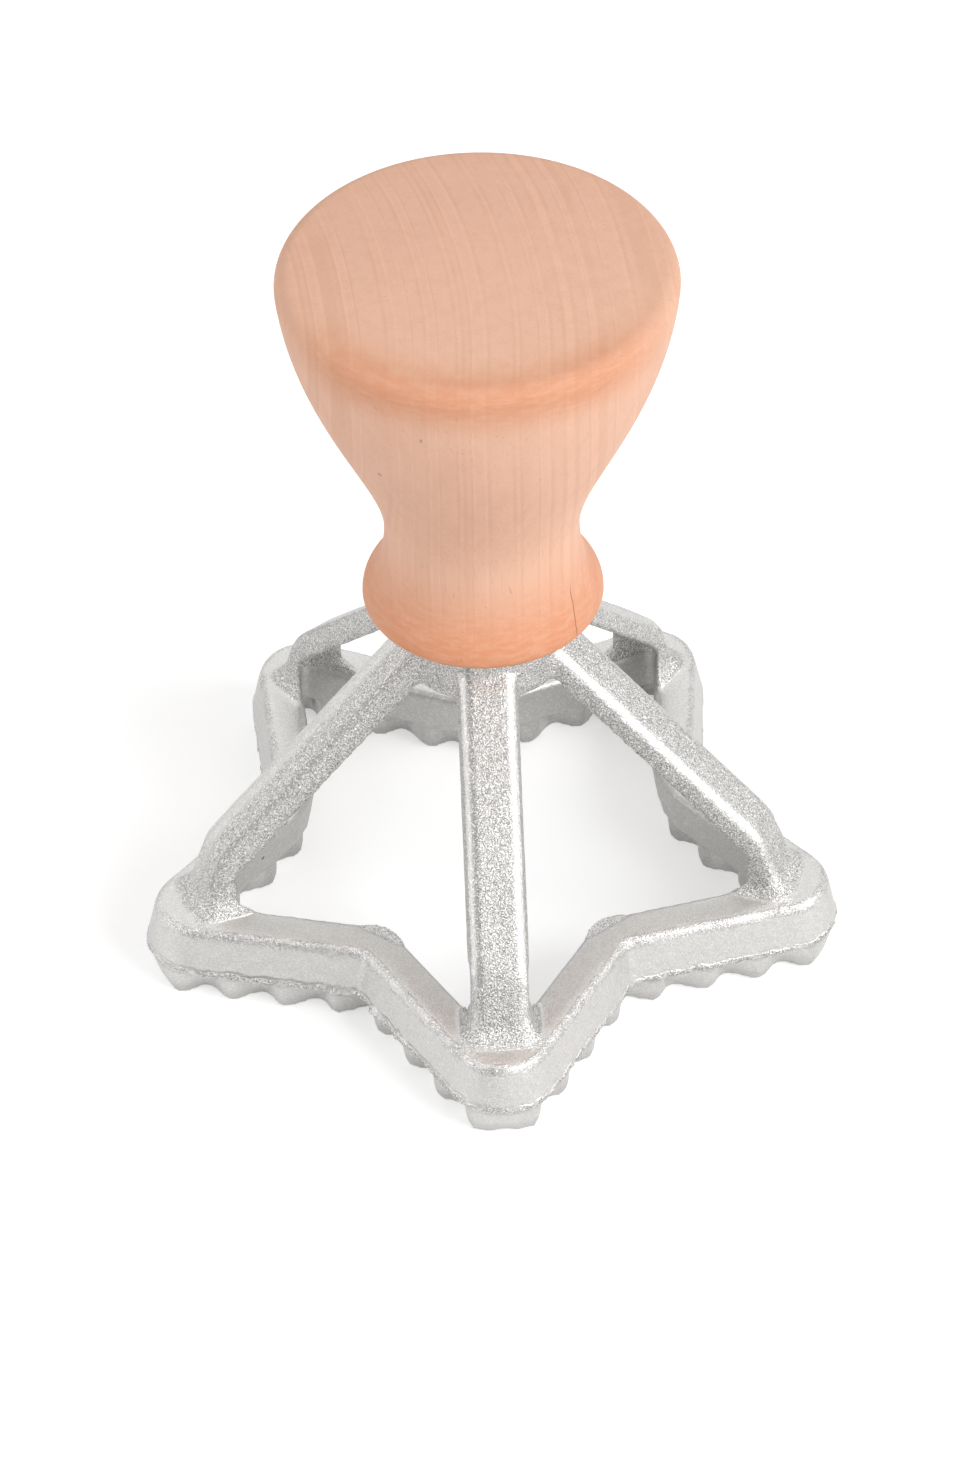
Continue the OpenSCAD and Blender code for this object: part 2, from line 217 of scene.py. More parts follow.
# Keeps a vector's x and y and drops its z
LEVEL = (1.0, 1.0, 0.0)


class Graph:
    """The nodes of one material, or of the world."""

    def __init__(self, owner):
        owner.use_nodes = True
        self.tree = owner.node_tree
        self.tree.nodes.clear()

    def node(self, kind, inputs=None, **settings):
        made = self.tree.nodes.new(kind)
        for key, value in settings.items():
            setattr(made, key, value)
        for key, value in (inputs or {}).items():
            self.put(made.inputs[key], value)
        return made

    def put(self, socket, value):
        if isinstance(value, bpy.types.NodeSocket):
            self.tree.links.new(value, socket)
        else:
            socket.default_value = value

    def math(self, operation, a, b=None):
        made = self.tree.nodes.new("ShaderNodeMath")
        made.operation = operation
        self.put(made.inputs[0], a)
        if b is not None:
            self.put(made.inputs[1], b)
        return made.outputs[0]

    def vector(self, operation, a, b=None):
        made = self.tree.nodes.new("ShaderNodeVectorMath")
        made.operation = operation
        self.put(made.inputs[0], a)
        if b is not None:
            self.put(made.inputs[1], b)
        plain = operation in ("LENGTH", "DISTANCE", "DOT_PRODUCT")
        return made.outputs["Value" if plain else "Vector"]

    def joined(self, operation, values):
        made = values[0]
        for value in values[1:]:
            made = self.math(operation, made, value)
        return made

    def times(self, *values):
        return self.joined("MULTIPLY", values)

    def total(self, *values):
        return self.joined("ADD", values)

    def most(self, *values):
        return self.joined("MAXIMUM", values)

    def split(self, vector):
        """The x, y and z of a vector."""
        return list(self.node("ShaderNodeSeparateXYZ", {"Vector": vector}).outputs)

    def millimetres(self):
        """Place on the object, in millimetres."""
        place = self.node("ShaderNodeTexCoord").outputs["Object"]
        return self.vector("MULTIPLY", place, (1 / MM, 1 / MM, 1 / MM))

    def noise(self, place, per_mm, detail=2.0, roughness=0.5):
        """Noise from 0 to 1. per_mm is its scale along x, y and z."""
        at = self.vector("MULTIPLY", place, per_mm)
        return self.node("ShaderNodeTexNoise", {"Vector": at, "Scale": 1.0, "Detail": detail,
                                                "Roughness": roughness}).outputs["Fac"]

    def between(self, value, low, high, low_out=0.0, high_out=1.0):
        """value from low..high, eased to low_out..high_out."""
        made = self.node("ShaderNodeMapRange", {"Value": value, "From Min": low,
                                                "From Max": high, "To Min": low_out,
                                                "To Max": high_out},
                         interpolation_type="SMOOTHSTEP")
        return made.outputs["Result"]

    def close_to(self, value, middle, fades_at, full_to):
        """1 where value is within full_to of middle, 0 from fades_at on."""
        off = self.math("ABSOLUTE", self.math("SUBTRACT", value, middle))
        return self.between(off, fades_at, full_to)

    def spots(self, place, marks, squeeze, core):
        """1 on each of the marks (x, y, z, size), 0 elsewhere. squeeze scales the way to a
        mark along x, y and z, and core is the share of its size that is full."""
        made = []
        for x, y, z, size in marks:
            way = self.vector("MULTIPLY", self.vector("SUBTRACT", place, (x, y, z)), squeeze)
            made.append(self.between(self.vector("LENGTH", way), size, size * core))
        return self.most(*made)

    def mix(self, share_of_b, a, b):
        made = self.node("ShaderNodeMix", data_type="RGBA", blend_type="MIX")
        self.put(made.inputs["Factor"], share_of_b)
        for name, value in (("A", a), ("B", b)):
            socket = next(s for s in made.inputs if s.name == name and s.type == "RGBA")
            self.put(socket, value)
        return next(s for s in made.outputs if s.type == "RGBA")

    def paint(self, tone, coats):
        """Lays each coat (mask, strength, colour) over the tone, in order."""
        for mask, strength, coat in coats:
            tone = self.mix(self.times(mask, strength), tone, coat)
        return tone

    def bump(self, height, strength, distance):
        return self.node("ShaderNodeBump", {"Height": height, "Strength": strength,
                                            "Distance": distance}).outputs["Normal"]

    def surface(self, shader):
        self.node("ShaderNodeOutputMaterial", {"Surface": shader.outputs[0]})


def new_material(name):
    material = bpy.data.materials.new(name)
    return material, Graph(material)


def shade(colour_of, brightness=1.0):
    """The colour with an alpha, brighter or darker."""
    return (*(min(1.0, c * brightness) for c in colour_of), 1.0)


# Materials. A pair of values in g.between is where a mask is 0 and where it is 1

def seam_masks(g, place, height, outside, ragged):
    """The rough lip along the wandering parting line, and the painted shadow lines over and
    under it, which are strongest near the place with most flash."""
    wander = g.math("SUBTRACT", g.noise(place, (0.7, 0.7, 0.2), 3.0), 0.5)
    seam = g.math("SUBTRACT", g.total(height, g.times(wander, SEAM_WANDER)), PARTING)
    lip = g.times(g.close_to(seam, *LIP), outside, g.between(ragged, 0.35, 0.55, 0.2, 1.0))
    near = g.vector("DISTANCE", place, FLASH_AT)
    over = g.times(g.close_to(seam, *SHADOW_OVER), g.between(near, 26.0, 8.0, 0.08, 0.45),
                   g.between(ragged, 0.36, 0.5, 0.2, 1.0))
    under = g.times(g.close_to(seam, *SHADOW_UNDER), g.between(near, 5.0, 2.8, 0.1, 0.9))
    return lip, g.times(g.most(over, under), outside)


def ledge_mask(g, place, height):
    """1 on the flat ledges at the two front notches."""
    below_top = g.between(height, RING_TOP - 0.12, RING_TOP - 0.25)
    ledges = []
    for side in (-1, 1):
        corner = (side * (NOTCH_R - RING_W) * math.sin(SECTOR),
                  -(NOTCH_R - RING_W) * math.cos(SECTOR), LEDGE_Z)
        off = g.vector("DISTANCE", place, corner)
        ledges.append(g.times(g.between(off, LEDGE_LONG, LEDGE_LONG - 0.6), below_top))
    return g.most(*ledges)


def spoke_masks(g, place, height, rise):
    """Where the spokes' rounded edges are rubbed smooth, on the left spoke also half of its
    top, and a painted line of dark reflection beside the rubbed part of the front and left
    spokes."""
    x, y, _ = g.split(place)

    # across is the distance from the middle of the nearest spoke, folded round the axis
    bearing = g.math("ARCTAN2", x, g.times(y, -1.0))
    folded = g.math("FLOORED_MODULO", g.total(bearing, SECTOR), 2 * SECTOR)
    across = g.times(g.vector("LENGTH", g.vector("MULTIPLY", place, LEVEL)),
                     g.math("SINE", g.math("SUBTRACT", folded, SECTOR)))
    left = g.between(x, -4.0, -7.0)
    across = g.math("SUBTRACT", across, g.times(left, LEFT_SHIFT))
    rubbed = g.times(g.between(g.math("ABSOLUTE", across), *RUBBED),
                     g.between(height, RING_TOP + 1.0, RING_TOP + 2.5),
                     g.between(rise, 0.2, 0.5))
    from_line = g.total(across, g.math("SUBTRACT", DARK_LINE, g.times(left, DARK_LINE_LEFT)))
    dark_reflection = g.times(g.between(g.math("ABSOLUTE", from_line), *DARK_LINE_WIDTH),
                   g.between(x, 5.0, 3.0),
                   g.between(height, RING_TOP + 2.0, RING_TOP + 4.0))
    return rubbed, dark_reflection


def blasted_aluminium(look):
    """Cast aluminium, blasted to a fine grain on the spokes, the hub, the ring's edges and the
    seam, smoother on the ring's walls, and rougher on the walls inside the star, with painted
    shade there."""
    material, g = new_material("blasted_aluminium")
    place = g.millimetres()
    height = g.split(place)[2]
    pointed = g.node("ShaderNodeNewGeometry").outputs["Pointiness"]
    edge = g.between(pointed, 0.515, 0.57)
    # hollows and creases, which get painted shade
    hollow_shade = g.between(pointed, 0.49, 0.42)
    normal = g.node("ShaderNodeTexCoord").outputs["Normal"]
    rise = g.split(normal)[2]
    tilted = g.between(rise, 0.98, 0.8)
    outward = g.vector("NORMALIZE", g.vector("MULTIPLY", place, LEVEL))
    facing = g.vector("DOT_PRODUCT", normal, outward)
    outside = g.between(facing, 0.1, 0.3)
    # walls facing the axis below the ring's top, painted darker as shade
    shaded_inside = g.times(g.between(facing, -0.25, -0.5),
                    g.between(height, RING_TOP + 0.4, RING_TOP - 0.6))
    ragged = g.noise(place, (0.45, 0.45, 0.9), 3.0)
    lip, seam_shadow = seam_masks(g, place, height, outside, ragged)
    ledge = ledge_mask(g, place, height)
    rubbed, dark_reflection = spoke_masks(g, place, height, rise)

    # how strongly each place is blasted
    rim = g.times(outside, g.between(height, RING_TOP - 1.5, RING_TOP - 0.7),
                  g.between(ragged, 0.3, 0.6, 0.3, 0.75))
    fillet = g.times(g.between(height, RING_TOP - 0.15, RING_TOP + 0.05), tilted)
    above = g.between(height, RING_TOP + 0.1, RING_TOP + 0.6, 0.25, 1.0)
    blasted = g.most(above, fillet, rim, lip, g.times(ledge, 0.85))
    blasted = g.times(blasted, g.math("SUBTRACT", 1.0, g.times(rubbed, 0.6)), look.sparkle)

    # grain: dark crooked pits between facets that get painted glints
    grain = g.noise(place, (4.8, 4.8, 4.8), 2.0, 0.6)
    crooked = g.close_to(grain, 0.5, 0.08, 0.01)
    cells = g.node("ShaderNodeTexVoronoi", {"Vector": place, "Scale": 5.6})
    facets = g.node("ShaderNodeSeparateColor", {"Color": cells.outputs["Color"]}).outputs
    glint = g.between(facets["Red"], 0.55, 0.9)
    patches = g.noise(place, (0.16, 0.16, 0.16), 3.0)
    mottle = g.noise(place, (1.1, 1.1, 1.1), 2.0)
    # the flat, upward-facing ring top, which gets a painted sheen
    ring_top_sheen = g.times(g.close_to(height, RING_TOP, 0.4, 0.2),
                       g.math("SUBTRACT", 1.0, tilted))

    tone = g.paint(shade(look.metal), (
        (patches, 0.3, shade(look.metal, 0.86)),
        (g.between(mottle, 0.35, 0.7), 0.16, shade(look.metal, 0.8)),
        (g.most(edge, lip, above), 0.4, shade(look.worn_and_sheen)),
        # a painted sheen: the ring's flat top painted lighter with the worn colour
        (ring_top_sheen, 0.7, shade(look.worn_and_sheen)),
        # a painted sheen: the ledges painted lighter than the worn colour
        (ledge, 1.0, shade(look.worn_and_sheen, 1.25)),
        # painted shade on the walls inside the star
        (shaded_inside, 0.85, shade(look.inside)),
        # painted glints on the bright facets of the blasted skin
        (g.times(glint, blasted), 0.85, shade(look.metal, 1.4)),
        (g.times(crooked, blasted), 0.88, shade(look.metal, 0.25)),
        # a painted dark reflection along a rounded edge of the front and left spokes, broken by
        # the grain
        (dark_reflection, g.between(grain, 0.4, 0.62, 0.08, 0.6), shade(look.metal, 0.3)),
        # painted shade in hollows and creases
        (hollow_shade, 0.35, shade(look.metal, 0.5)),
        # painted shadow over and under the seam's lip
        (seam_shadow, 1.0, shade(look.metal, 0.2)),
        # painted shade, darker towards the bottom of the fluted edge
        (g.between(height, 2.4, 0.2), 0.4, shade(look.metal, 0.5)),
        (g.spots(place, CAST_PITS, (1.0, 1.0, 1.0), 0.5), 0.85, shade(look.metal, 0.12)),
    ))
    rough = g.total(look.roughness, g.times(grain, 0.12), g.times(shaded_inside, 0.1),
                    g.times(edge, -0.08))
    skin = g.times(g.total(grain, g.times(facets["Blue"], 0.35)), g.total(blasted, 0.15))
    skin = g.total(skin, g.times(mottle, 0.3))
    g.surface(g.node("ShaderNodeBsdfPrincipled",
                     {"Base Color": tone, "Metallic": 1.0, "Roughness": rough,
                      "Normal": g.bump(skin, 1.0, 0.14 * MM)}))
    return material


def growth_lines(g, place, look):
    """The darker late wood and the paler early wood of the growth rings, irregular in width
    and strength, round a pith far to the side."""
    level = g.vector("MULTIPLY", place, LEVEL)
    wander = g.noise(place, (0.03, 0.03, 0.008), 2.0)
    pith = g.vector("SUBTRACT", level, (-look.pith / MM, -0.12 * look.pith / MM, 0.0))
    reach = g.total(g.vector("LENGTH", pith), g.times(wander, 1.5))
    years = g.node("ShaderNodeCombineXYZ", {"X": g.math("DIVIDE", reach, look.ring_gap / MM)})
    year = g.noise(years.outputs[0], (1.0, 1.0, 1.0), 1.0)
    strength = g.between(g.noise(place, (0.09, 0.09, 0.05), 2.0), 0.4, 0.6, 0.3, 1.0)
    late = g.times(g.close_to(year, 0.5, 0.045, 0.0), strength)
    return late, g.close_to(year, 0.545, 0.03, 0.0)


def burnish_mask(g, place, base):
    """The burnished rings, uneven and strongest in front."""
    _, y, height = g.split(place)
    radius = g.vector("LENGTH", g.vector("MULTIPLY", place, LEVEL))
    section = g.node("ShaderNodeCombineXYZ", {"X": radius, "Z": height}).outputs[0]
    ahead = g.math("DIVIDE", y, radius)
    rings = []
    for ring_r, over_foot, reach, strength, behind in BURNISHED:
        off = g.vector("DISTANCE", section, (ring_r, 0.0, base + over_foot))
        rings.append(g.times(g.between(off, reach, 0.0, 0.0, strength),
                             g.between(ahead, -0.3, -0.85, behind, 1.0)))
    uneven = g.between(g.noise(place, (0.5, 0.5, 2.2), 4.0, 0.7), 0.33, 0.62, 0.68, 1.0)
    return g.times(g.most(*rings), uneven)


def crack_mask(g, place, base):
    """1 along the thin drying crack that runs up the bead, 0 elsewhere."""
    bearing, distance, width, low, high = CRACK
    height = g.split(place)[2]
    across = (math.cos(bearing), math.sin(bearing), 0.0)
    toward = (math.sin(bearing), -math.cos(bearing), 0.0)
    wobble = g.math("SUBTRACT", g.noise(place, (0.0, 0.0, 0.7), 2.0), 0.5)
    off = g.math("SUBTRACT", g.vector("DOT_PRODUCT", place, across), distance)
    off = g.total(off, g.times(wobble, 0.4))
    return g.times(g.between(g.math("ABSOLUTE", off), width, width * 0.4),
                   g.between(g.vector("DOT_PRODUCT", place, toward), 1.0, 2.0),
                   g.between(height, base + low, base + low + 0.8),
                   g.between(height, base + high, base + high - 1.5))


def turned_beech(look, base):
    """Pale beech with growth lines, fine fibres along Z, a burnished rim and bead, a short
    drying crack in the bead and a few flecks. base is the height of the knob's foot."""
    material, g = new_material("turned_beech")
    place = g.millimetres()
    late, early = growth_lines(g, place, look)
    fibres = g.noise(place, (5.5, 5.5, 0.12), 3.0, 0.6)
    streaks = g.noise(place, (0.9, 0.9, 0.02), 2.0)
    rays = g.noise(place, (2.4, 9.0, 0.9), 1.0)
    cloud = g.noise(place, (0.05, 0.05, 0.05), 2.0)
    crack = crack_mask(g, place, base)

    tone = g.paint(shade(look.wood), (
        (late, 0.36, shade(look.late_wood)),
        (early, 0.3, shade(look.wood, 1.14)),
        (g.between(streaks, 0.35, 0.75), 0.22, shade(look.late_wood)),
        (g.between(fibres, 0.45, 0.8), 0.28, shade(look.late_wood, 0.86)),
        (g.between(cloud, 0.35, 0.7), 0.2, shade(look.wood, 1.1)),
        (burnish_mask(g, place, base), 1.0, shade(look.burnish)),
        (g.between(rays, 0.7, 0.78), 0.4, shade(look.fleck)),
        (g.spots(place, WOOD_FLECKS, (1.0, 1.0, 0.5), 0.4), 0.7, shade(look.fleck)),
        (crack, 0.85, shade(look.fleck, 0.55)),
    ))
    rough = g.total(look.roughness - 0.06, g.times(fibres, 0.14))
    lathe = g.noise(place, (0.02, 0.02, 3.0), 1.0)
    skin = g.total(fibres, g.times(lathe, 0.35), g.times(late, -0.25), g.times(crack, -2.0))
    g.surface(g.node("ShaderNodeBsdfPrincipled",
                     {"Base Color": tone, "Roughness": rough, "Specular IOR Level": 0.3,
                      "Normal": g.bump(skin, 0.3, 0.05 * MM)}))
    return material


def plated_steel(look):
    """Zinc-plated steel with fine turning marks."""
    material, g = new_material("plated_steel")
    place = g.millimetres()
    cloud = g.noise(place, (0.8, 0.8, 0.8), 3.0)
    marks = g.noise(place, (0.4, 0.4, 9.0), 2.0)
    tone = g.paint(shade(look.steel), ((cloud, 0.5, shade(look.steel, 0.8)),))
    rough = g.total(look.roughness - 0.06, g.times(cloud, 0.14))
    g.surface(g.node("ShaderNodeBsdfPrincipled",
                     {"Base Color": tone, "Metallic": 1.0, "Roughness": rough,
                      "Normal": g.bump(marks, 0.3, 0.03 * MM)}))
    return material


# Shapes

def set_points(mesh, points):
    mesh.vertices.foreach_set("co", points.astype(np.float32).ravel())
    mesh.update()


def get_points(mesh):
    points = np.empty(len(mesh.vertices) * 3, np.float32)
    mesh.vertices.foreach_get("co", points)
    return points.reshape(-1, 3).astype(float)


def get_normals(mesh):
    return np.array([v.normal for v in mesh.vertices])


def put_in_scene(name, mesh, material):
    piece = bpy.data.objects.new(name, mesh)
    bpy.context.scene.collection.objects.link(piece)
    mesh.materials.clear()
    mesh.materials.append(material)
    mesh.polygons.foreach_set("use_smooth", [True] * len(mesh.polygons))
    mesh.update()
    return piece


def bake_modifiers(piece):
    """Puts the piece's modifiers into its mesh."""
    graph = bpy.context.evaluated_depsgraph_get()
    graph.update()
    mesh = bpy.data.meshes.new_from_object(piece.evaluated_get(graph))
    old = piece.data
    piece.modifiers.clear()
    piece.data = mesh
    bpy.data.meshes.remove(old)
    return mesh


def slow_waves(points, size, seed):
    """One value from -1 to 1 for each point, from noise with waves of about size (mm)."""
    shift = Vector((seed * 17.3, seed * 5.1, seed * 9.7))
    return np.array([noise.noise(Vector(p) / size + shift) for p in points])


def curve(start, pull, late_pull, end, steps):
    """Points of a Bezier curve, without its start."""
    points = []
    for i in range(1, steps + 1):
        t = i / steps
        u = 1 - t
        points.append([u ** 3 * a + 3 * u * u * t * b + 3 * u * t * t * c + t ** 3 * d
                       for a, b, c, d in zip(start, pull, late_pull, end)])
    return points


def knob_outline(base):
    """The turned outline, [radius, height] in mm, from the screw's hole round to the top, and
    the heights of the hole's end and of the top. base is the height of the knob's foot."""
    neck_rise, flare_rise = WAIST[1] - BEAD[1], RIM[1] - WAIST[1]
    lean_r, lean_z = math.sin(RIM_LEAN), math.cos(RIM_LEAN)
    side = (RIM[0] - RIM_ROUND * (1 - lean_z), RIM[1] - RIM_ROUND * lean_r)
    side_pull = (side[0] - RIM_BELOW * flare_rise * lean_r,
                 side[1] - RIM_BELOW * flare_rise * lean_z)
    middle = (RIM[0] - RIM_ROUND, RIM[1])
    line = [[HOLE_R, HOLE_DEPTH * (1 - i / HOLE_ROWS)] for i in range(HOLE_ROWS + 1)]
    line += [[HOLE_R + (FOOT[0] - HOLE_R) * i / FOOT_ROWS, 0.0]
             for i in range(1, FOOT_ROWS + 1)]
    line += curve(FOOT, (FOOT[0] + FOOT_PULL[0], FOOT_PULL[1]),
                  (BEAD[0], BEAD[1] * (1 - BEAD_BELOW)), BEAD, BEAD_ROWS)
    line += curve(BEAD, (BEAD[0], BEAD[1] + BEAD_ABOVE * neck_rise),
                  (WAIST[0], WAIST[1] - WAIST_BELOW * neck_rise), WAIST, NECK_ROWS)
    line += curve(WAIST, (WAIST[0], WAIST[1] + WAIST_ABOVE * flare_rise), side_pull, side,
                  FLARE_ROWS)
    for i in range(1, RIM_ROWS + 1):
        angle = math.pi / 2 * i / RIM_ROWS - RIM_LEAN * (1 - i / RIM_ROWS)
        line.append([middle[0] + RIM_ROUND * math.cos(angle),
                     middle[1] + RIM_ROUND * math.sin(angle)])
    for i in range(1, DOME_ROWS):
        r = middle[0] * (1 - i / DOME_ROWS)
        line.append([r, RIM[1] + RIM_ROUND + DOME * (1 - (r / middle[0]) ** 2)])
    return ([[r, z + base] for r, z in line], base + HOLE_DEPTH,
            base + RIM[1] + RIM_ROUND + DOME)


def turned_mesh(name, line, first_z, last_z, turns):
    """Spins the outline round Z, closed by a point at each end."""
    points, faces = [], []
    for r, z in line:
        for k in range(turns):
            angle = 2 * math.pi * k / turns
            points.append((r * math.cos(angle) * MM, r * math.sin(angle) * MM, z * MM))
    top = (len(line) - 1) * turns
    for low in range(0, top, turns):
        high = low + turns
        for k in range(turns):
            k2 = (k + 1) % turns
            faces.append((low + k, low + k2, high + k2, high + k))
    first, last = len(points), len(points) + 1
    points += [(0, 0, first_z * MM), (0, 0, last_z * MM)]
    for k in range(turns):
        k2 = (k + 1) % turns
        faces.append((first, k2, k))
        faces.append((last, top + k, top + k2))
    mesh = bpy.data.meshes.new(name)
    mesh.from_pydata(points, [], faces)
    mesh.validate()
    return mesh


def cut_ledges(points):
    """Flattens the skin beside the ring's top to a ledge at each of the two front notches."""
    lowest, highest = 8.0, RING_TOP + 0.3
    side_ease, end_ease = 0.15, 0.4
    for side in (-1, 1):
        notch_x, notch_y = side * math.sin(SECTOR), -math.cos(SECTOR)
        height = points[:, 2] / MM
        out = (points[:, 0] * notch_x + points[:, 1] * notch_y) / MM
        along = np.abs(points[:, 0] * notch_y - points[:, 1] * notch_x) / MM
        from_side = (out - NOTCH_R) * math.cos(SIDE_TURN) - along * math.sin(SIDE_TURN)
        width = LEDGE_WIDE + LEDGE_CORNER * np.clip(1 - along / LEDGE_LONG, 0, 1)
        on = np.clip((width - from_side - RING_W) / side_ease, 0, 1)
        on *= np.clip((LEDGE_LONG - along) / end_ease, 0, 1) * (from_side < 0) * (out > 0)
        on *= np.clip((height - lowest) / side_ease, 0, 1) * (height < highest)
        points[:, 2] += on * (LEDGE_Z * MM - points[:, 2])


def add_flash(points, normals, mm, reach):
    """Draws out the thin ragged lip that the mould's two halves left at the parting line."""
    fullness = 1.3
    outward = normals[:, 0] * mm[:, 0] + normals[:, 1] * mm[:, 1] > 0
    off = np.abs(mm[:, 2] - PARTING - FLASH_LIFT) / FLASH_HALF
    lip = np.clip(fullness * (1 - off), 0, 1) * outward
    ragged = np.clip(0.35 + slow_waves(mm, 3.2, 3) * 1.5 + slow_waves(mm, 0.9, 4), 0, 1)
    away = np.linalg.norm(mm - np.array(FLASH_AT), axis=1)
    most = np.exp(-(away / FLASH_SPREAD) ** 2)
    amount = lip * (FLASH_LEAST + (1 - FLASH_LEAST) * most) * ragged * reach
    points += normals * np.array([1, 1, 0.2]) * amount[:, None]


# Operators

class STAMP_OT_casting(bpy.types.Operator):
    """Make the cast star: the ring, its fluted edge, the spokes and the hub"""

    bl_idname = "stamp.casting"
    bl_label = "Star casting"

    def execute(self, context):
        look = context.scene.stamp_casting
        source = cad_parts["star_frame"]
        piece = put_in_scene("star_casting", source.data.copy(), blasted_aluminium(look))
        remesh = piece.modifiers.new("skin", "REMESH")
        remesh.mode, remesh.voxel_size, remesh.use_smooth_shade = "VOXEL", look.voxel, True
        if look.smoothing:
            soften = piece.modifiers.new("soften", "SMOOTH")
            soften.factor, soften.iterations = 0.5, look.smoothing
        mesh = bake_modifiers(piece)
        points = get_points(mesh)
        normals = get_normals(mesh)
        mm = points / MM
        waves = slow_waves(mm, 2.6, 1) + 0.6 * slow_waves(mm, 1.1, 2)
        points += normals * (waves * look.unevenness)[:, None]
        cut_ledges(points)
        add_flash(points, normals, mm, look.flash)
        low, high = (np.array(c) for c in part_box("star_frame"))
        set_points(mesh, np.clip(points, low, high))
        mesh.polygons.foreach_set("use_smooth", [True] * len(mesh.polygons))
        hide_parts("star_frame")
        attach(piece, "root")
        return {"FINISHED"}


class STAMP_OT_knob(bpy.types.Operator):
    """Turn the wooden knob"""

    bl_idname = "stamp.knob"
    bl_label = "Wooden knob"

    def execute(self, context):
        look = context.scene.stamp_knob
        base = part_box("handle")[0].z / MM
        line, hole_top, top = knob_outline(base)
        mesh = turned_mesh("turned_knob", line, hole_top, top, look.turns)
        piece = put_in_scene("turned_knob", mesh, turned_beech(look, base))
        low, high = (np.array(c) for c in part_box("handle"))
        set_points(mesh, np.clip(get_points(mesh), low, high))
        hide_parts("handle")
        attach(piece, "root")
        return {"FINISHED"}


class STAMP_OT_screw(bpy.types.Operator):
    """Finish the countersunk screw under the hub"""

    bl_idname = "stamp.screw"
    bl_label = "Handle screw"

    def execute(self, context):
        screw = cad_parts["handle_screw"]
        screw.data.materials.clear()
        screw.data.materials.append(plated_steel(context.scene.stamp_screw))
        return {"FINISHED"}


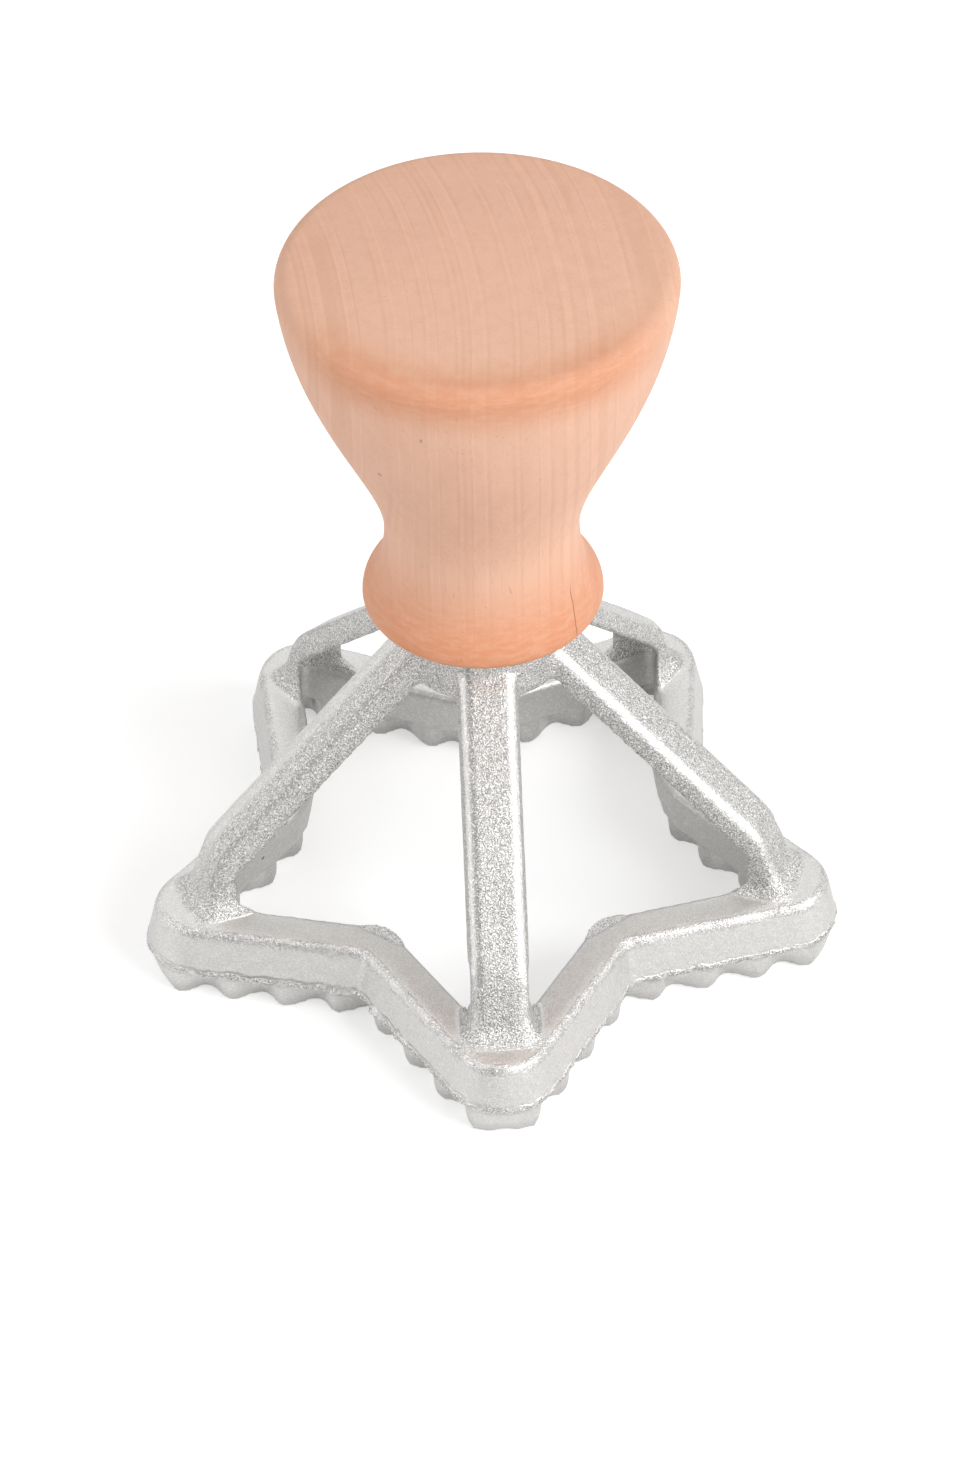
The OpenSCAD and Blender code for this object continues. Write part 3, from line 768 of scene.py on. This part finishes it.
class STAMP_OT_stage(bpy.types.Operator):
    """Set the pale floor, the soft lamps and the camera"""

    bl_idname = "stamp.stage"
    bl_label = "Studio"

    def execute(self, context):
        look = context.scene.stamp_stage
        self.floor(look)
        self.world(context, look)
        self.lamp("key_lamp", KEY_AT, KEY_WIDTH, look.key)
        self.lamp("fill_lamp", FILL_AT, FILL_WIDTH, look.fill)
        self.camera(context, look)
        context.scene.view_settings.view_transform = "Standard"
        return {"FINISHED"}

    def seen_directly(self, g, in_gloss=1.0):
        """1 for rays from the camera and through glass, in_gloss for what gloss shows."""
        path = g.node("ShaderNodeLightPath").outputs
        return g.most(path["Is Camera Ray"], g.times(path["Is Glossy Ray"], in_gloss),
                      path["Is Transmission Ray"])

    def floor(self, look):
        half = look.floor_size / 2
        corners = [(-half, -half), (half, -half), (half, half), (-half, half)]
        mesh = bpy.data.meshes.new("floor")
        mesh.from_pydata([(x, y, -FLOOR_DROP) for x, y in corners], [], [(0, 1, 2, 3)])
        material, g = new_material("pale_floor")
        glow = g.times(self.seen_directly(g, FLOOR_IN_GLOSS), FLOOR_GLOW)
        matte = g.node("ShaderNodeBsdfDiffuse", {"Color": shade(look.floor, FLOOR_MATTE)})
        light = g.node("ShaderNodeEmission", {"Color": shade(look.floor), "Strength": glow})
        g.surface(g.node("ShaderNodeAddShader", {0: matte.outputs[0], 1: light.outputs[0]}))
        put_in_scene("floor", mesh, material)

    def world(self, context, look):
        """White where it is seen, plain light elsewhere, and a dark side that only gloss
        shows."""
        world = bpy.data.worlds.new("studio")
        context.scene.world = world
        g = Graph(world)
        toward = g.vector("DOT_PRODUCT", g.node("ShaderNodeTexCoord").outputs["Generated"],
                          look.dark_side)
        in_gloss = g.node("ShaderNodeLightPath").outputs["Is Glossy Ray"]
        dark = g.times(in_gloss, g.between(toward, DARK_FROM, DARK_FULL), look.dark)
        plain = g.total(look.ambient, g.times(self.seen_directly(g), 1 - look.ambient))
        strength = g.times(plain, g.math("SUBTRACT", 1.0, dark))
        back = g.node("ShaderNodeBackground", {"Color": shade(look.floor),
                                               "Strength": strength})
        g.node("ShaderNodeOutputWorld", {"Surface": back.outputs[0]})

    def lamp(self, name, place, width, power):
        data = bpy.data.lights.new(name, "AREA")
        data.shape, data.size, data.energy = "DISK", width, power
        lamp = bpy.data.objects.new(name, data)
        bpy.context.scene.collection.objects.link(lamp)
        lamp.location = place
        aim = Vector(LAMP_AIM) - Vector(place)
        lamp.rotation_euler = aim.to_track_quat("-Z", "Y").to_euler()

    def camera(self, context, look):
        data = bpy.data.cameras.new("camera")
        data.sensor_width, data.lens = 36.0, look.lens
        camera = bpy.data.objects.new("camera", data)
        context.scene.collection.objects.link(camera)
        ahead = Vector((0, math.cos(look.pitch), -math.sin(look.pitch)))
        up = Vector((0, math.sin(look.pitch), math.cos(look.pitch)))
        right = Vector((1, 0, 0))
        cos, sin = math.cos(look.roll), math.sin(look.roll)
        right, up = cos * right + sin * up, cos * up - sin * right
        place = right * look.aside + up * look.raised - ahead * look.distance
        place.z += look.target_height
        turn = Matrix.Rotation(look.turn, 4, "Z")
        axes = Matrix((right, up, -ahead)).transposed().to_4x4()
        camera.matrix_world = turn @ Matrix.Translation(place) @ axes
        context.scene.camera = camera


class STAMP_PT_panel(bpy.types.Panel):
    """The stamp's pieces, with their sizes and colours"""

    bl_label = "Star ravioli stamp"
    bl_idname = "STAMP_PT_panel"
    bl_space_type = "VIEW_3D"
    bl_region_type = "UI"
    bl_category = "Stamp"

    def draw(self, context):
        for name, (group, operator) in PIECES.items():
            box = self.layout.box()
            box.operator(operator.bl_idname)
            settings = getattr(context.scene, name)
            for key in group.__annotations__:
                box.prop(settings, key)


PIECES = {
    "stamp_casting": (StampCastingSettings, STAMP_OT_casting),
    "stamp_knob": (StampKnobSettings, STAMP_OT_knob),
    "stamp_screw": (StampScrewSettings, STAMP_OT_screw),
    "stamp_stage": (StampStageSettings, STAMP_OT_stage),
}


def register():
    for name, (group, operator) in PIECES.items():
        bpy.utils.register_class(group)
        bpy.utils.register_class(operator)
        setattr(bpy.types.Scene, name, PointerProperty(type=group))
    bpy.utils.register_class(STAMP_PT_panel)


def unregister():
    bpy.utils.unregister_class(STAMP_PT_panel)
    for name, (group, operator) in reversed(PIECES.items()):
        delattr(bpy.types.Scene, name)
        bpy.utils.unregister_class(operator)
        bpy.utils.unregister_class(group)


def main():
    register()
    bpy.ops.stamp.casting()
    bpy.ops.stamp.knob()
    bpy.ops.stamp.screw()
    bpy.ops.stamp.stage()


if __name__ == "__main__":
    main()
